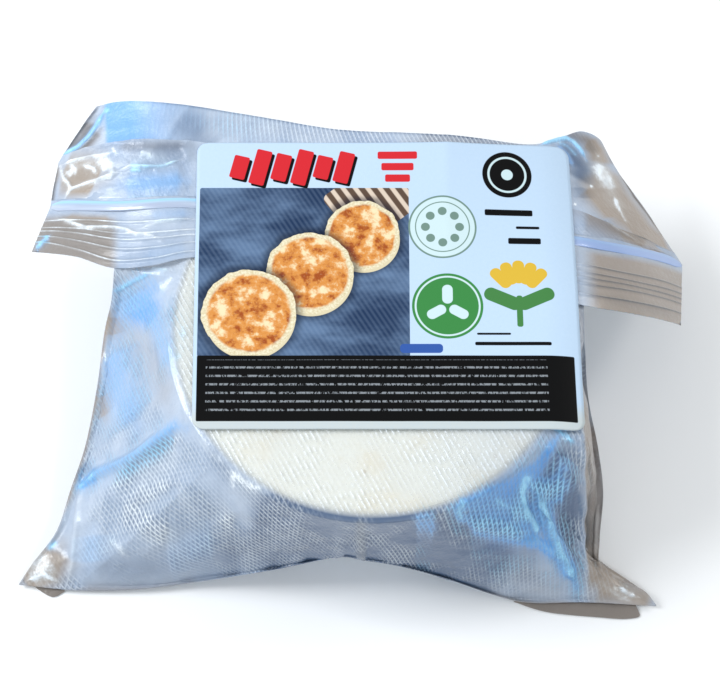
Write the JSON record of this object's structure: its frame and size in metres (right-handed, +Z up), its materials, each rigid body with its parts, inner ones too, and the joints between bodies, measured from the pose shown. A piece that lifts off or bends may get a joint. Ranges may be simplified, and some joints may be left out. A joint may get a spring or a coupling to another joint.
{
  "type": "zip bag of corn arepas",
  "caption": "Clear zip-top bag lying flat, filled with a leaning stack of round white corn arepas, with a paper label across its top.",
  "frame": {"origin": "centre of the bounding box, at the surface that the bag lies on", "axes": "+Z up out of the label, -Y towards the bag's sealed bottom edge, +X along the zip"},
  "size_m": [0.1816, 0.1306, 0.0498],
  "materials": {
    "clear_film": "clear embossed film, glossy and faintly blue, with cream-white arepas showing through it",
    "label_paper": "smooth satin white paper with fields of printed colour"
  },
  "bodies": {
    "root": {"bag": "clear_film", "label": "label_paper"}
  },
  "joints": []
}
